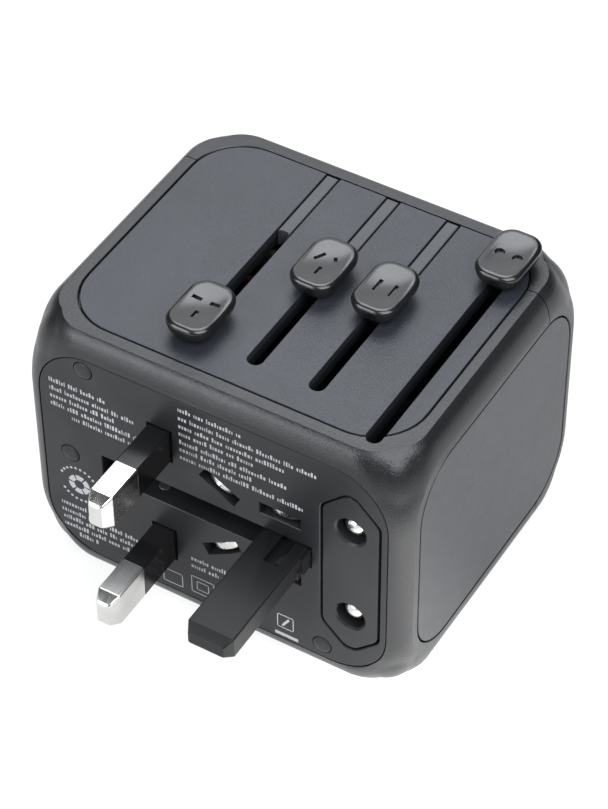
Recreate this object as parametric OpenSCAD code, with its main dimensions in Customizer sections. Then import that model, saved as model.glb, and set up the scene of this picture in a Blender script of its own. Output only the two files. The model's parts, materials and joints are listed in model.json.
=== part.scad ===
// Universal travel adapter: a block with four sliders on top, each of which pushes one
// country's pins out of the plug face, a universal socket at the back and USB ports on the left.
// X runs along the plug face, Y from the plug face to the socket face, Z up to the sliders.
// The origin is the centre of the base. All sizes are in millimetres.

/* [Body] */
// Width of the body, from side panel to side panel
body_w = 68; // [68:0.5:70]
// Depth of the body, from the plug face to the socket face
body_d = 56.5; // [56.5:0.5:58]
// Height of the body, from the base to the slider panel
body_h = 51; // [51:0.5:53]
// Radius of the body's edges
edge_r = 4; // [3:0.5:4]
// Shell wall together with the panel that is let into it
wall = 3; // [2.8:0.1:3]
// Thickness of the panels let into the shells
panel_t = 1.2; // [1:0.1:1.4]
// Gap round each panel
panel_gap = 0.2; // [0.15:0.05:0.3]
// Depth at which the front and rear shells meet
parting_y = 44.5; // [44:0.5:45]

/* [Sliders] */
// Travel of the UK, AUS and US sliders
short_travel = 17.8; // [17:0.1:18]
// Travel of the EU slider
eu_travel = 39.6; // [39:0.1:39.6]
// Travel of the EU pin block, which follows the EU slider
block_travel = 18; // [17.5:0.1:18]
// Width of the slots in the slider panel
slot_w = 2.6; // [2.5:0.1:2.8]
// Width of a knob, across its slot
knob_w = 7.8; // [7.2:0.1:8.4]
// Length of a knob, along its slot
knob_l = 11.7; // [11:0.1:12]
// Height of a knob's top above the slider panel
knob_rise = 4; // [3.8:0.1:4.6]

/* [UK plug] */
// Distance of the live and neutral pins from the centre line
uk_half_pitch = 11.1; // [11:0.05:11.2]
// Thickness of a live or neutral pin
uk_pin_t = 4; // [3.95:0.01:4.05]
// Width of a live or neutral pin
uk_pin_w = 6.35; // [6.22:0.01:6.48]
// Reach of the live and neutral pins past the plug face
uk_pin_reach = 17.7; // [17.2:0.1:18.2]
// Reach of the insulating sleeves past the plug face
sleeve_reach = 9; // [8.5:0.1:9.5]
// Distance of the earth pin from the line of the live and neutral pins
earth_offset = 22.2; // [22.1:0.05:22.3]
// Reach of the earth pin past the plug face
earth_reach = 22.7; // [22.2:0.1:23.2]
// Width of the earth pin
earth_w = 8; // [7.9:0.01:8.05]
// Thickness of the earth pin
earth_t = 4; // [3.95:0.01:4.05]

/* [Other plugs] */
// Distance of the AUS blades from the centre line
aus_half_pitch = 6.9; // [6.8:0.01:6.95]
// Tilt of the AUS blades
aus_tilt = 30; // [29:0.5:31]
// Distance of the US blades from the centre line
us_half_pitch = 6.35; // [6.3:0.01:6.4]
// Width of the AUS and US blades
blade_w = 6.35; // [6.2:0.01:6.5]
// Thickness of the AUS and US blades
blade_t = 1.6; // [1.4:0.01:1.65]
// Distance of the EU pins from the centre line
eu_half_pitch = 9.5; // [9.3:0.01:9.6]
// Diameter of the EU pins
eu_pin_d = 4; // [3.95:0.01:4.05]

/* [Hidden] */
$fn = 48;
e = 0.01;
top_z = body_h / 2;
side_x = body_w / 2;
// columns of the four plugs: where the pins stand and where the knob's slot runs
uk_x = -8.93;
aus_x = 1.7;
us_x = 12.4;
eu_x = 24.65;
uk_slot_x = -8.93;
aus_slot_x = 2.05;
us_slot_x = 12.84;
eu_slot_x = 25.4;
slot_front = 9.2;
eu_slot_front = 4.1;
finger_front = 36.6;
// a knob's stem and its carriage, pushed forward; the rear stop adds the travel
stem_y = 10.75;
stem_len = 4;
carriage_y = 10.6;
carriage_len = 5;
eu_stem_y = 44.5;
eu_carriage_y = 44.4;
eu_carriage_len = 4;
eu_slot_rear = eu_stem_y + stem_len + 0.4;
// top, side and base panels
top_panel_w = 59.4;
top_panel_d = 47.8;
top_panel_y = 28.3;
side_panel_d = 47.6;
side_panel_h = 39.8;
side_panel_y = 28.6;
panel_r = 9;
// plug face plate
plate_w = 62;
plate_h = 43.8;
plate_t = 2;
plate_r = 9;
// bay that the earth pin folds into
bay_x0 = -20.05;
bay_x1 = 17.9;
bay_half_h = 2.25;
bay_floor = 9;
bay_wall = 1.2;
earth_x = uk_x + earth_offset;
hinge_y = 4.3;
hinge_pin_r = 1;
// EU pin block
block_half_w = 4.95;
block_straight = 12.8;
block_tip = 17.7;
block_len = 22;
eu_tip_y = 2.6;
fit_gap = 0.2;
// housing screws, hidden under plugs in the plug face
SCREWS = [[-22.4, 19.6], [-26.05, -0.3], [19.75, -19.1]];
screw_r = 1.1;
plug_r = 1.6;
// socket at the back
socket_x = -11.1;
socket_earth_x = 11.1;
socket_face_t = 2.4;
shutter_travel = 8.4;
// USB board and ports
board_top = -9.4;
board_t = 1.6;
usb_a_y = 20;
usb_c_y = 35;
usb_x = -33;
lead_y = 35.5;

// ---- helpers: shapes are written with y from the plug face and z from the pins' mid-plane

module in_place() {
    translate([0, -body_d / 2, body_h / 2]) children();
}

module block(x0, x1, y0, y1, z0, z1) {
    translate([x0, y0, z0]) cube([x1 - x0, y1 - y0, z1 - z0]);
}

module rounded_rect(w, h, r) {
    square([w - 2 * r, h], center = true);
    square([w, h - 2 * r], center = true);
    for (sx = [-1, 1])
        for (sy = [-1, 1])
            translate([sx * (w / 2 - r), sy * (h / 2 - r)]) circle(r);
}

// extrudes an (x, z) outline from y0 to y1
module along_y(y0, y1) {
    translate([0, y1, 0]) rotate([90, 0, 0]) linear_extrude(y1 - y0) children();
}

// extrudes a (y, z) outline from x0 to x1
module along_x(x0, x1) {
    translate([x0, 0, 0]) rotate([90, 0, 90]) linear_extrude(x1 - x0) children();
}

module along_z(z0, z1) {
    translate([0, 0, z0]) linear_extrude(z1 - z0) children();
}

module outer_form() {
    intersection() {
        along_y(0, body_d) rounded_rect(body_w, body_h, edge_r);
        along_x(-side_x, side_x) translate([body_d / 2, 0]) rounded_rect(body_d, body_h, edge_r);
        along_z(-top_z, top_z) translate([0, body_d / 2]) rounded_rect(body_w, body_d, edge_r);
    }
}

module top_outline(gap) {
    translate([0, top_panel_y])
        rounded_rect(top_panel_w + 2 * gap, top_panel_d + 2 * gap, panel_r + gap);
}

module side_outline(gap) {
    translate([side_panel_y, 0])
        rounded_rect(side_panel_d + 2 * gap, side_panel_h + 2 * gap, panel_r + gap);
}

module panel_recesses() {
    along_z(top_z - panel_t, top_z + 1) top_outline(panel_gap);
    along_z(-top_z - 1, -top_z + panel_t) top_outline(panel_gap);
    along_x(side_x - panel_t, side_x + 1) side_outline(panel_gap);
    along_x(-side_x - 1, -side_x + panel_t) side_outline(panel_gap);
}

// slot with a round front end, through the top wall or the slider panel
module slot(x, y0, y1) {
    along_z(top_z - wall - 1, top_z + 1) {
        translate([x, y0 + slot_w / 2]) circle(slot_w / 2);
        translate([x - slot_w / 2, y0 + slot_w / 2]) square([slot_w, y1 - y0 - slot_w / 2]);
    }
}

module slider_slots(y1, eu_y1) {
    slot(uk_slot_x, slot_front, y1);
    slot(aus_slot_x, slot_front, y1);
    slot(us_slot_x, slot_front, y1);
    slot(eu_slot_x, eu_slot_front, eu_y1);
}

module hexagon(gap) {
    w = block_half_w + gap;
    s = block_straight + gap * 0.4;
    t = block_tip + gap * 1.4;
    polygon([[-w, -s], [0, -t], [w, -s], [w, s], [0, t], [-w, s]]);
}

module usb_a_outline(gap) {
    translate([usb_a_y, board_top + 2.85]) rounded_rect(13.1 + gap, 5.7 + gap, 0.6);
}

module usb_c_outline(gap) {
    translate([usb_c_y, board_top + 1.63]) rounded_rect(8.94 + gap, 3.16 + gap, 1.57 + gap / 2);
}

module port_holes(x0, x1) {
    along_x(x0, x1) usb_a_outline(0.3);
    along_x(x0, x1) usb_c_outline(0.3);
}

// ---- casing

module front_shell() {
    color([0.19, 0.19, 0.20]) in_place() difference() {
        union() {
            difference() {
                intersection() {
                    outer_form();
                    block(-side_x, side_x, 0, parting_y, -top_z, top_z);
                }
                along_y(plate_t * 2, parting_y + 1)
                    rounded_rect(body_w - 2 * wall, body_h - 2 * wall, 2);
                along_y(-1, plate_t) rounded_rect(plate_w + 0.2, plate_h + 0.2, plate_r + 0.1);
                along_y(-1, plate_t * 2 + 1) rounded_rect(plate_w - 4, plate_h - 4, plate_r - 2);
                along_y(-1, plate_t * 2 + 1) translate([eu_x, 0]) hexagon(fit_gap + 0.1);
                panel_recesses();
            }
            for (s = SCREWS)
                translate([s[0], 0, s[1]]) along_y(plate_t, parting_y) circle(2.4);
            // ribs that tie the screw posts to the walls
            block(-23.2, -21.6, plate_t, parting_y, 21, top_z - wall + e);
            block(-side_x + wall - e, -27.5, plate_t, parting_y, -1.1, 0.5);
            block(18.95, 20.55, plate_t, parting_y, -top_z + wall - e, -20.5);
        }
        for (s = SCREWS)
            translate([s[0], 0, s[1]]) along_y(plate_t - 1, parting_y + 1) circle(screw_r + 0.2);
        slider_slots(parting_y + 1, parting_y + 1);
        port_holes(-side_x - 1, -side_x + wall + 1);
    }
}

module rear_shell() {
    color([0.19, 0.19, 0.20]) in_place() difference() {
        union() {
            difference() {
                intersection() {
                    outer_form();
                    block(-side_x, side_x, parting_y, body_d, -top_z, top_z);
                }
                along_y(parting_y - 1, body_d - socket_face_t)
                    rounded_rect(body_w - 2 * wall, body_h - 2 * wall, 2);
                along_y(parting_y, body_d + 1) rounded_rect(50.2, 40.2, 8.1);
                panel_recesses();
                slot(eu_slot_x, parting_y - 4, eu_slot_rear);
            }
            // posts that the housing screws bite into
            for (s = SCREWS)
                translate([s[0], 0, s[1]]) along_y(parting_y, body_d - socket_face_t) circle(2.4);
            block(-23.2, -21.6, parting_y, body_d - socket_face_t, 21, top_z - wall + e);
            block(-side_x + wall - e, -27.5, parting_y, body_d - socket_face_t, -1.1, 0.5);
            block(18.95, 20.55, parting_y, body_d - socket_face_t, -top_z + wall - e, -20.5);
            // fingers that close the rear of the slider slots
            for (x = [uk_slot_x, aus_slot_x, us_slot_x]) {
                block(x - 1, x + 1, finger_front, parting_y + e, top_z - wall + 0.2, top_z);
                block(x - 1, x + 1, parting_y, 51.9, top_z - panel_t - e, top_z);
            }
        }
        for (s = SCREWS)
            translate([s[0], 0, s[1]]) along_y(parting_y - 1, 53) circle(screw_r + 0.04);
    }
}

module slider_panel() {
    color([0.33, 0.35, 0.38]) in_place() difference() {
        along_z(top_z - panel_t, top_z) top_outline(0);
        slider_slots(body_d, eu_slot_rear);
    }
}

module base_panel() {
    color([0.33, 0.35, 0.38]) in_place() along_z(-top_z, -top_z + panel_t) top_outline(0);
}

module left_side_panel() {
    color([0.36, 0.38, 0.40]) in_place() difference() {
        along_x(-side_x, -side_x + panel_t) side_outline(0);
        port_holes(-side_x - 1, -side_x + wall);
    }
}

module right_side_panel() {
    color([0.36, 0.38, 0.40]) in_place() along_x(side_x - panel_t, side_x) side_outline(0);
}

module plug_face_plate() {
    color([0.24, 0.25, 0.27]) in_place() difference() {
        along_y(0, plate_t) rounded_rect(plate_w, plate_h, plate_r);
        block(bay_x0, bay_x1, -1, plate_t + 1, -bay_half_h, bay_half_h);
        for (s = [-1, 1]) {
            along_y(-1, plate_t + 1)
                translate([uk_x, s * uk_half_pitch])
                    square([uk_pin_t + 2 * fit_gap, uk_pin_w + 2 * fit_gap], center = true);
            along_y(-1, plate_t + 1)
                translate([aus_x, s * aus_half_pitch]) rotate(-s * aus_tilt)
                    square([blade_w + 0.8, blade_t + 0.8], center = true);
            along_y(-1, plate_t + 1)
                translate([us_x, s * us_half_pitch])
                    square([blade_w + 0.8, blade_t + 0.6], center = true);
        }
        along_y(-1, plate_t + 1) translate([eu_x, 0]) hexagon(fit_gap);
        for (s = SCREWS)
            translate([s[0], 0, s[1]]) along_y(-1, plate_t + 1) circle(plug_r + 0.05);
    }
}

module screw_plugs() {
    color([0.17, 0.17, 0.18]) in_place() for (s = SCREWS)
        translate([s[0], 0, s[1]]) along_y(-0.3, 1.2) circle(plug_r);
}

module housing_screws() {
    color("silver") in_place() for (s = SCREWS)
        translate([s[0], 0, s[1]]) {
            along_y(1.25, 1.95) circle(plug_r - 0.1);
            along_y(1.9, 52) circle(screw_r);
        }
}

// ---- folding earth pin

module earth_pin() {
    color([0.13, 0.13, 0.14]) in_place() difference() {
        union() {
            intersection() {
                along_z(-earth_t / 2, earth_t / 2) polygon([
                    [earth_x - earth_w / 2, hinge_y],
                    [earth_x - earth_w / 2, -earth_reach + 1.6],
                    [earth_x - earth_w / 2 + 0.9, -earth_reach],
                    [earth_x + earth_w / 2 - 0.9, -earth_reach],
                    [earth_x + earth_w / 2, -earth_reach + 1.6],
                    [earth_x + earth_w / 2, hinge_y]
                ]);
                along_x(earth_x - earth_w, earth_x + earth_w) polygon([
                    [hinge_y, -earth_t / 2],
                    [-earth_reach + 1.6, -earth_t / 2],
                    [-earth_reach, -earth_t / 2 + 0.9],
                    [-earth_reach, earth_t / 2 - 0.9],
                    [-earth_reach + 1.6, earth_t / 2],
                    [hinge_y, earth_t / 2]
                ]);
            }
            translate([earth_x, hinge_y, -earth_t / 2]) cylinder(r = earth_w / 2, h = earth_t);
        }
        translate([earth_x, hinge_y, -earth_t]) cylinder(r = hinge_pin_r + 0.06, h = earth_t * 2);
    }
}

module earth_pin_bay() {
    color([0.15, 0.15, 0.16]) in_place() difference() {
        block(bay_x0 - bay_wall, bay_x1 + bay_wall, plate_t, bay_floor + bay_wall,
              -bay_half_h - bay_wall, bay_half_h + bay_wall);
        block(bay_x0, bay_x1, plate_t - 1, bay_floor, -bay_half_h, bay_half_h);
        translate([earth_x, hinge_y, -5]) cylinder(r = hinge_pin_r + 0.03, h = 10);
    }
}

module earth_hinge_pin() {
    color("silver") in_place()
        translate([earth_x, hinge_y, -bay_half_h - bay_wall])
            cylinder(r = hinge_pin_r, h = 2 * (bay_half_h + bay_wall));
}

// ---- sliders

// carriage that slides under the top wall and holds one plug's pins;
// the stem reaches up through the slot to the knob
module carriage(slot_x, pin_x, half_w, half_h, y, len, stem_start) {
    block(pin_x - half_w, pin_x + half_w, y, y + len, -half_h, half_h);
    block(slot_x - 1.3, slot_x + 1.3, y, y + len, half_h - e, top_z - wall - 1.5);
    block(slot_x - 4, slot_x + 4, stem_start - 0.2, y + len + 0.2, top_z - wall - 1.6, top_z - wall - 0.25);
    block(slot_x - 1.1, slot_x + 1.1, stem_start, stem_start + stem_len,
          top_z - wall - 0.3, top_z + 3);
}

module knob(slot_x, stem_start) {
    difference() {
        along_z(top_z + 0.8, top_z + knob_rise)
            translate([slot_x, stem_start + stem_len / 2]) rounded_rect(knob_w, knob_l, 3.4);
        block(slot_x - 1.15, slot_x + 1.15, stem_start - 0.05, stem_start + stem_len + 0.05,
              top_z, top_z + 3.05);
    }
}

module uk_core(s) {
    translate([uk_x, 0, s * uk_half_pitch]) along_y(-sleeve_reach - e, 17.5)
        square([uk_pin_t - 1, uk_pin_w - 1], center = true);
}

module uk_knob() {
    color([0.27, 0.27, 0.28]) in_place() knob(uk_slot_x, stem_y);
}

module uk_carriage() {
    color([0.12, 0.12, 0.12]) in_place() difference() {
        carriage(uk_slot_x, uk_x, 2.6, 15.4, carriage_y, carriage_len, stem_y);
        for (s = [-1, 1]) uk_core(s);
    }
}

module uk_pin(s) {
    color("gainsboro") in_place() union() {
        intersection() {
            translate([uk_x, 0, s * uk_half_pitch]) along_z(-uk_pin_w / 2, uk_pin_w / 2) polygon([
                [-uk_pin_t / 2, -sleeve_reach],
                [-uk_pin_t / 2, -uk_pin_reach + 2],
                [-uk_pin_t / 2 + 0.8, -uk_pin_reach],
                [uk_pin_t / 2 - 0.8, -uk_pin_reach],
                [uk_pin_t / 2, -uk_pin_reach + 2],
                [uk_pin_t / 2, -sleeve_reach]
            ]);
            translate([uk_x, 0, s * uk_half_pitch]) along_x(-uk_pin_t, uk_pin_t) polygon([
                [-sleeve_reach, -uk_pin_w / 2],
                [-uk_pin_reach + 2, -uk_pin_w / 2],
                [-uk_pin_reach, -uk_pin_w / 2 + 0.8],
                [-uk_pin_reach, uk_pin_w / 2 - 0.8],
                [-uk_pin_reach + 2, uk_pin_w / 2],
                [-sleeve_reach, uk_pin_w / 2]
            ]);
        }
        uk_core(s);
    }
}

module uk_sleeve(s) {
    color([0.08, 0.08, 0.08]) in_place() difference() {
        translate([uk_x, 0, s * uk_half_pitch]) along_y(-sleeve_reach, carriage_y)
            square([uk_pin_t, uk_pin_w], center = true);
        uk_core(s);
    }
}

module uk_live_pin() {
    uk_pin(1);
}

module uk_neutral_pin() {
    uk_pin(-1);
}

module uk_live_sleeve() {
    uk_sleeve(1);
}

module uk_neutral_sleeve() {
    uk_sleeve(-1);
}

// blade of the AUS or US plug, stowed behind the plug face
module blade(x, z, tilt, tip_y, grow) {
    along_y(tip_y, 34.6) translate([x, z]) rotate(tilt)
        square([blade_w + grow, blade_t + grow], center = true);
}

module aus_blade(s, grow) {
    blade(aus_x, s * aus_half_pitch, -s * aus_tilt, 0.9, grow);
}

module us_blade(s, grow) {
    blade(us_x, s * us_half_pitch, 0, 1.2, grow);
}

module aus_knob() {
    color([0.27, 0.27, 0.28]) in_place() knob(aus_slot_x, stem_y + short_travel);
}

module aus_carriage() {
    color([0.12, 0.12, 0.12]) in_place() difference() {
        carriage(aus_slot_x, aus_x, 3.4, 10.4, carriage_y + short_travel, carriage_len,
                 stem_y + short_travel);
        for (s = [-1, 1]) aus_blade(s, 0.04);
    }
}

module aus_live_blade() {
    color("gainsboro") in_place() aus_blade(1, 0);
}

module aus_neutral_blade() {
    color("gainsboro") in_place() aus_blade(-1, 0);
}

module us_knob() {
    color([0.27, 0.27, 0.28]) in_place() knob(us_slot_x, stem_y + short_travel);
}

module us_carriage() {
    color([0.12, 0.12, 0.12]) in_place() difference() {
        carriage(us_slot_x, us_x, 3.6, 10.4, carriage_y + short_travel, carriage_len,
                 stem_y + short_travel);
        for (s = [-1, 1]) us_blade(s, 0.04);
    }
}

module us_live_blade() {
    color("gainsboro") in_place() us_blade(1, 0);
}

module us_neutral_blade() {
    color("gainsboro") in_place() us_blade(-1, 0);
}

module eu_knob() {
    color([0.27, 0.27, 0.28]) in_place() knob(eu_slot_x, eu_stem_y);
}

module eu_carriage() {
    color([0.12, 0.12, 0.12]) in_place() difference() {
        union() {
            carriage(eu_slot_x, eu_x, 3, 12.5, eu_carriage_y, eu_carriage_len, eu_stem_y);
            // ears that meet the contact strips
            for (s = [-1, 1])
                block(19.9, 23, eu_carriage_y, eu_carriage_y + eu_carriage_len,
                      s * 13.9 - 2, s * 13.9 + 2);
        }
        for (s = [-1, 1])
            translate([eu_x, 0, s * eu_half_pitch])
                along_y(eu_carriage_y - 1, eu_carriage_y + eu_carriage_len + 1) circle(eu_pin_d / 2 + 0.04);
    }
}

module eu_pin(s) {
    r = eu_pin_d / 2;
    color("gainsboro") in_place() translate([eu_x, 0, s * eu_half_pitch]) {
        translate([0, eu_tip_y + r, 0]) sphere(r);
        along_y(eu_tip_y + r, eu_carriage_y + eu_carriage_len) circle(r);
    }
}

module eu_live_pin() {
    eu_pin(1);
}

module eu_neutral_pin() {
    eu_pin(-1);
}

module eu_pin_block() {
    color([0.22, 0.23, 0.25]) in_place() difference() {
        along_y(0, block_len) translate([eu_x, 0]) hexagon(0);
        for (s = [-1, 1])
            translate([eu_x, 0, s * eu_half_pitch]) {
                along_y(-1, block_len + 1) circle(eu_pin_d / 2 + 0.15);
                along_y(-1, 3) circle(2.6);
            }
    }
}

module eu_inner_rail() {
    color([0.15, 0.15, 0.16]) in_place() difference() {
        block(eu_x - block_half_w - 1.8, eu_x - block_half_w - fit_gap, plate_t, 27, -11, 11);
        // clears the earth pin's bay
        block(eu_x - block_half_w - 2, eu_x - block_half_w, plate_t - 1, bay_floor + bay_wall + 0.1,
              -bay_half_h - bay_wall - 0.1, bay_half_h + bay_wall + 0.1);
    }
}

module eu_outer_rail() {
    color([0.15, 0.15, 0.16]) in_place()
        block(eu_x + block_half_w + fit_gap, side_x - wall, plate_t * 2, 27, -11, 11);
}

// ---- contacts

module contact_carrier() {
    color([0.75, 0.73, 0.68]) in_place() difference() {
        block(-14, 17.1, 36.1, 37.3, -20.5, 20.5);
        block(6, 16.2, 35, 38, -3, 3);
    }
}

// brass strip with one finger for each slider; it is live only through a slider pushed forward
module contact_strip(s) {
    mirror([0, 0, s < 0 ? 1 : 0]) {
        block(-12, 18.6, 35.4, 36, 10.7, 16.5);
        block(18.5, 20.7, 35.4, 36, 16.1, 16.5);
        block(-11.6, -10.6, 14, 35.5, 15.7, 16.1);
        block(-1.5, -0.6, 14, 35.5, 10.7, 11.1);
        block(9.2, 10.2, 14, 35.5, 10.7, 11.1);
        block(19.9, 20.7, 6, 35.5, 16.1, 16.5);
    }
}

module live_contact_strip() {
    color("goldenrod") in_place() contact_strip(1);
}

module neutral_contact_strip() {
    color("goldenrod") in_place() contact_strip(-1);
}

// two leaves that grip whichever pin enters the socket
module socket_contact(s) {
    mirror([0, 0, s < 0 ? 1 : 0]) {
        block(socket_x - 3, socket_x + 3, 37.4, 37.9, 6, 14.5);
        block(socket_x - 3, socket_x - 2.5, 37.8, 51, 6, 14.5);
        block(socket_x + 2.5, socket_x + 3, 37.8, 51, 6, 14.5);
    }
}

module live_socket_contact() {
    color("goldenrod") in_place() socket_contact(1);
}

module neutral_socket_contact() {
    color("goldenrod") in_place() socket_contact(-1);
}

// ---- socket at the back

module socket_openings() {
    for (s = [-1, 1]) {
        translate([socket_x, s * 11.1]) square([5, 7], center = true);
        translate([socket_x, s * 9.5]) circle(2.6);
        translate([socket_x, s * 6.35]) square([7.4, 2.2], center = true);
        translate([socket_x, s * 6.9]) rotate(s * 30) square([7.4, 2.2], center = true);
    }
    translate([socket_earth_x, 0]) square([8.8, 5], center = true);
}

module socket_face() {
    color([0.24, 0.25, 0.27]) in_place() difference() {
        along_y(body_d - socket_face_t, body_d) rounded_rect(50, 40, 8);
        along_y(body_d - 5, body_d + 1) socket_openings();
    }
}

module shutter_frame() {
    color([0.75, 0.73, 0.68]) in_place() difference() {
        union() {
            block(-19.5, 16.5, 51.1, 52.1, -18, 18);
            for (s = [-1, 1]) block(-19.5, 16.5, 52, 54, s * 17.2 - 0.9, s * 17.2 + 0.9);
            block(5, 6, 52, 54, -1.5, 1.5);
        }
        along_y(50, 53) socket_openings();
    }
}

module socket_shutter() {
    color([0.85, 0.83, 0.78]) in_place() block(-15.4, -6.8, 52.3, 53.8, -16, 16);
}

// compression spring: rings of the wire's section swept along a helix
module shutter_spring() {
    turns = 8;
    steps = 10;
    sides = 6;
    wire_r = 0.16;
    coil_r = 0.5;
    x0 = -6.6;
    x1 = 4.8;
    n = turns * steps;
    ring = [for (i = [0:n]) for (k = [0:sides - 1])
        let (a = 360 * i / steps, b = 360 * k / sides)
        [x0 + (x1 - x0) * i / n + wire_r * sin(b),
         53.05 + (coil_r + wire_r * cos(b)) * cos(a),
         (coil_r + wire_r * cos(b)) * sin(a)]];
    skin = [for (i = [0:n - 1]) for (k = [0:sides - 1]) for (half = [0, 1])
        let (p = i * sides + k, q = i * sides + (k + 1) % sides)
        half == 0 ? [p, q, q + sides] : [p, q + sides, p + sides]];
    color("silver") in_place() polyhedron(points = ring, faces = concat(
        skin,
        [[for (k = [sides - 1:-1:0]) k]],
        [[for (k = [0:sides - 1]) n * sides + k]]
    ));
}

// ---- USB supply

module usb_circuit_board() {
    color("darkgreen") in_place() block(-30.8, -14.3, 11, 43.5, board_top - board_t, board_top);
}

module usb_a_shell() {
    color("silver") in_place() difference() {
        along_x(usb_x, -19.5) usb_a_outline(0);
        along_x(usb_x - 1, -20) usb_a_outline(-0.6);
    }
}

module usb_a_tongue() {
    color("white") in_place()
        block(usb_x + 0.6, -20, usb_a_y - 5.6, usb_a_y + 5.6, board_top + 3.1, board_top + 5);
}

module usb_c_shell() {
    color("silver") in_place() difference() {
        along_x(usb_x, -25.5) usb_c_outline(0);
        along_x(usb_x - 1, -26) usb_c_outline(-0.6);
    }
}

module usb_c_tongue() {
    color([0.1, 0.1, 0.1]) in_place()
        block(usb_x + 0.8, -26, usb_c_y - 3.3, usb_c_y + 3.3, board_top + 1.28, board_top + 1.98);
}

module transformer_core() {
    color([0.2, 0.2, 0.2]) in_place() difference() {
        block(-22.6, -14.6, 27, 34.8, board_top, board_top + 12);
        for (y = [28.3, 31.9])
            block(-23, -14, y, y + 1.6, board_top + 2, board_top + 10);
    }
}

module transformer_winding() {
    color([0.85, 0.7, 0.2]) in_place() difference() {
        block(-23.2, -14, 28.4, 33.4, board_top + 2.1, board_top + 9.9);
        block(-22.6, -14.6, 29.9, 31.9, board_top, board_top + 12);
    }
}

module input_capacitor() {
    color([0.2, 0.25, 0.5]) in_place() translate([-24, 0, board_top - board_t - 3.1])
        along_y(14, 28) circle(3);
}

module output_capacitors() {
    color([0.25, 0.2, 0.2]) in_place() for (y = [12.2, 18.4])
        translate([-16.4, 0, board_top + 2.05]) along_y(y, y + 5.6) circle(2);
}

module choke() {
    color([0.3, 0.28, 0.25]) in_place()
        translate([-17.6, 21, board_top - board_t - 5.05]) cylinder(r = 3, h = 5);
}

module charge_control_chip() {
    color([0.1, 0.1, 0.1]) in_place() block(-29.8, -25.4, 28, 29.6, board_top, board_top + 1.2);
}

module power_switch_chip() {
    color([0.1, 0.1, 0.1]) in_place() block(-19, -15.5, 38, 40, board_top, board_top + 1.4);
}

module rectifier_chip() {
    color([0.1, 0.1, 0.1]) in_place() block(-29, -25, 40.4, 43, board_top, board_top + 1);
}

module auto_reset_breaker() {
    color([0.1, 0.1, 0.1]) in_place() block(-6, 8, 38, 48, -22.2, -17);
}

// supply leads from the contact strips to the board
module lead(points, r) {
    for (i = [0:len(points) - 2]) {
        p = points[i];
        q = points[i + 1];
        d = q - p;
        translate(p)
            rotate([0, acos(d[2] / norm(d)), atan2(d[1], d[0])]) cylinder(r = r, h = norm(d), $fn = 24);
    }
    for (i = [1:len(points) - 2]) translate(points[i]) sphere(r, $fn = 24);
}

module live_lead() {
    color("brown") in_place()
        lead([[-12.05, lead_y, 14], [-20.5, lead_y, 14], [-20.5, 42.5, 14], [-20.5, 42.5, board_top + 0.05]], 0.5);
}

module neutral_lead() {
    color("steelblue") in_place()
        lead([[-12.05, lead_y, -14], [-26, lead_y, -14], [-26, lead_y, board_top - board_t - 0.05]], 0.5);
}

front_shell();
rear_shell();
slider_panel();
base_panel();
left_side_panel();
right_side_panel();
plug_face_plate();
screw_plugs();
housing_screws();
earth_pin();
earth_pin_bay();
earth_hinge_pin();
uk_knob();
uk_carriage();
uk_live_pin();
uk_neutral_pin();
uk_live_sleeve();
uk_neutral_sleeve();
aus_knob();
aus_carriage();
aus_live_blade();
aus_neutral_blade();
us_knob();
us_carriage();
us_live_blade();
us_neutral_blade();
eu_knob();
eu_carriage();
eu_live_pin();
eu_neutral_pin();
eu_pin_block();
eu_inner_rail();
eu_outer_rail();
contact_carrier();
live_contact_strip();
neutral_contact_strip();
live_socket_contact();
neutral_socket_contact();
socket_face();
shutter_frame();
socket_shutter();
shutter_spring();
usb_circuit_board();
usb_a_shell();
usb_a_tongue();
usb_c_shell();
usb_c_tongue();
transformer_core();
transformer_winding();
input_capacitor();
output_capacitors();
choke();
charge_control_chip();
power_switch_chip();
rectifier_chip();
auto_reset_breaker();
live_lead();
neutral_lead();
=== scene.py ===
"""Looks of the universal travel adapter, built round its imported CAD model.

Shapes are written in body coordinates, in millimetres: x along the plug face, y from the plug
face to the socket face, z up from the mid-plane of the pins. at() takes them to the row frame.
"""

import json
import math

import bmesh
import bpy
from mathutils import Matrix, Vector


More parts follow.
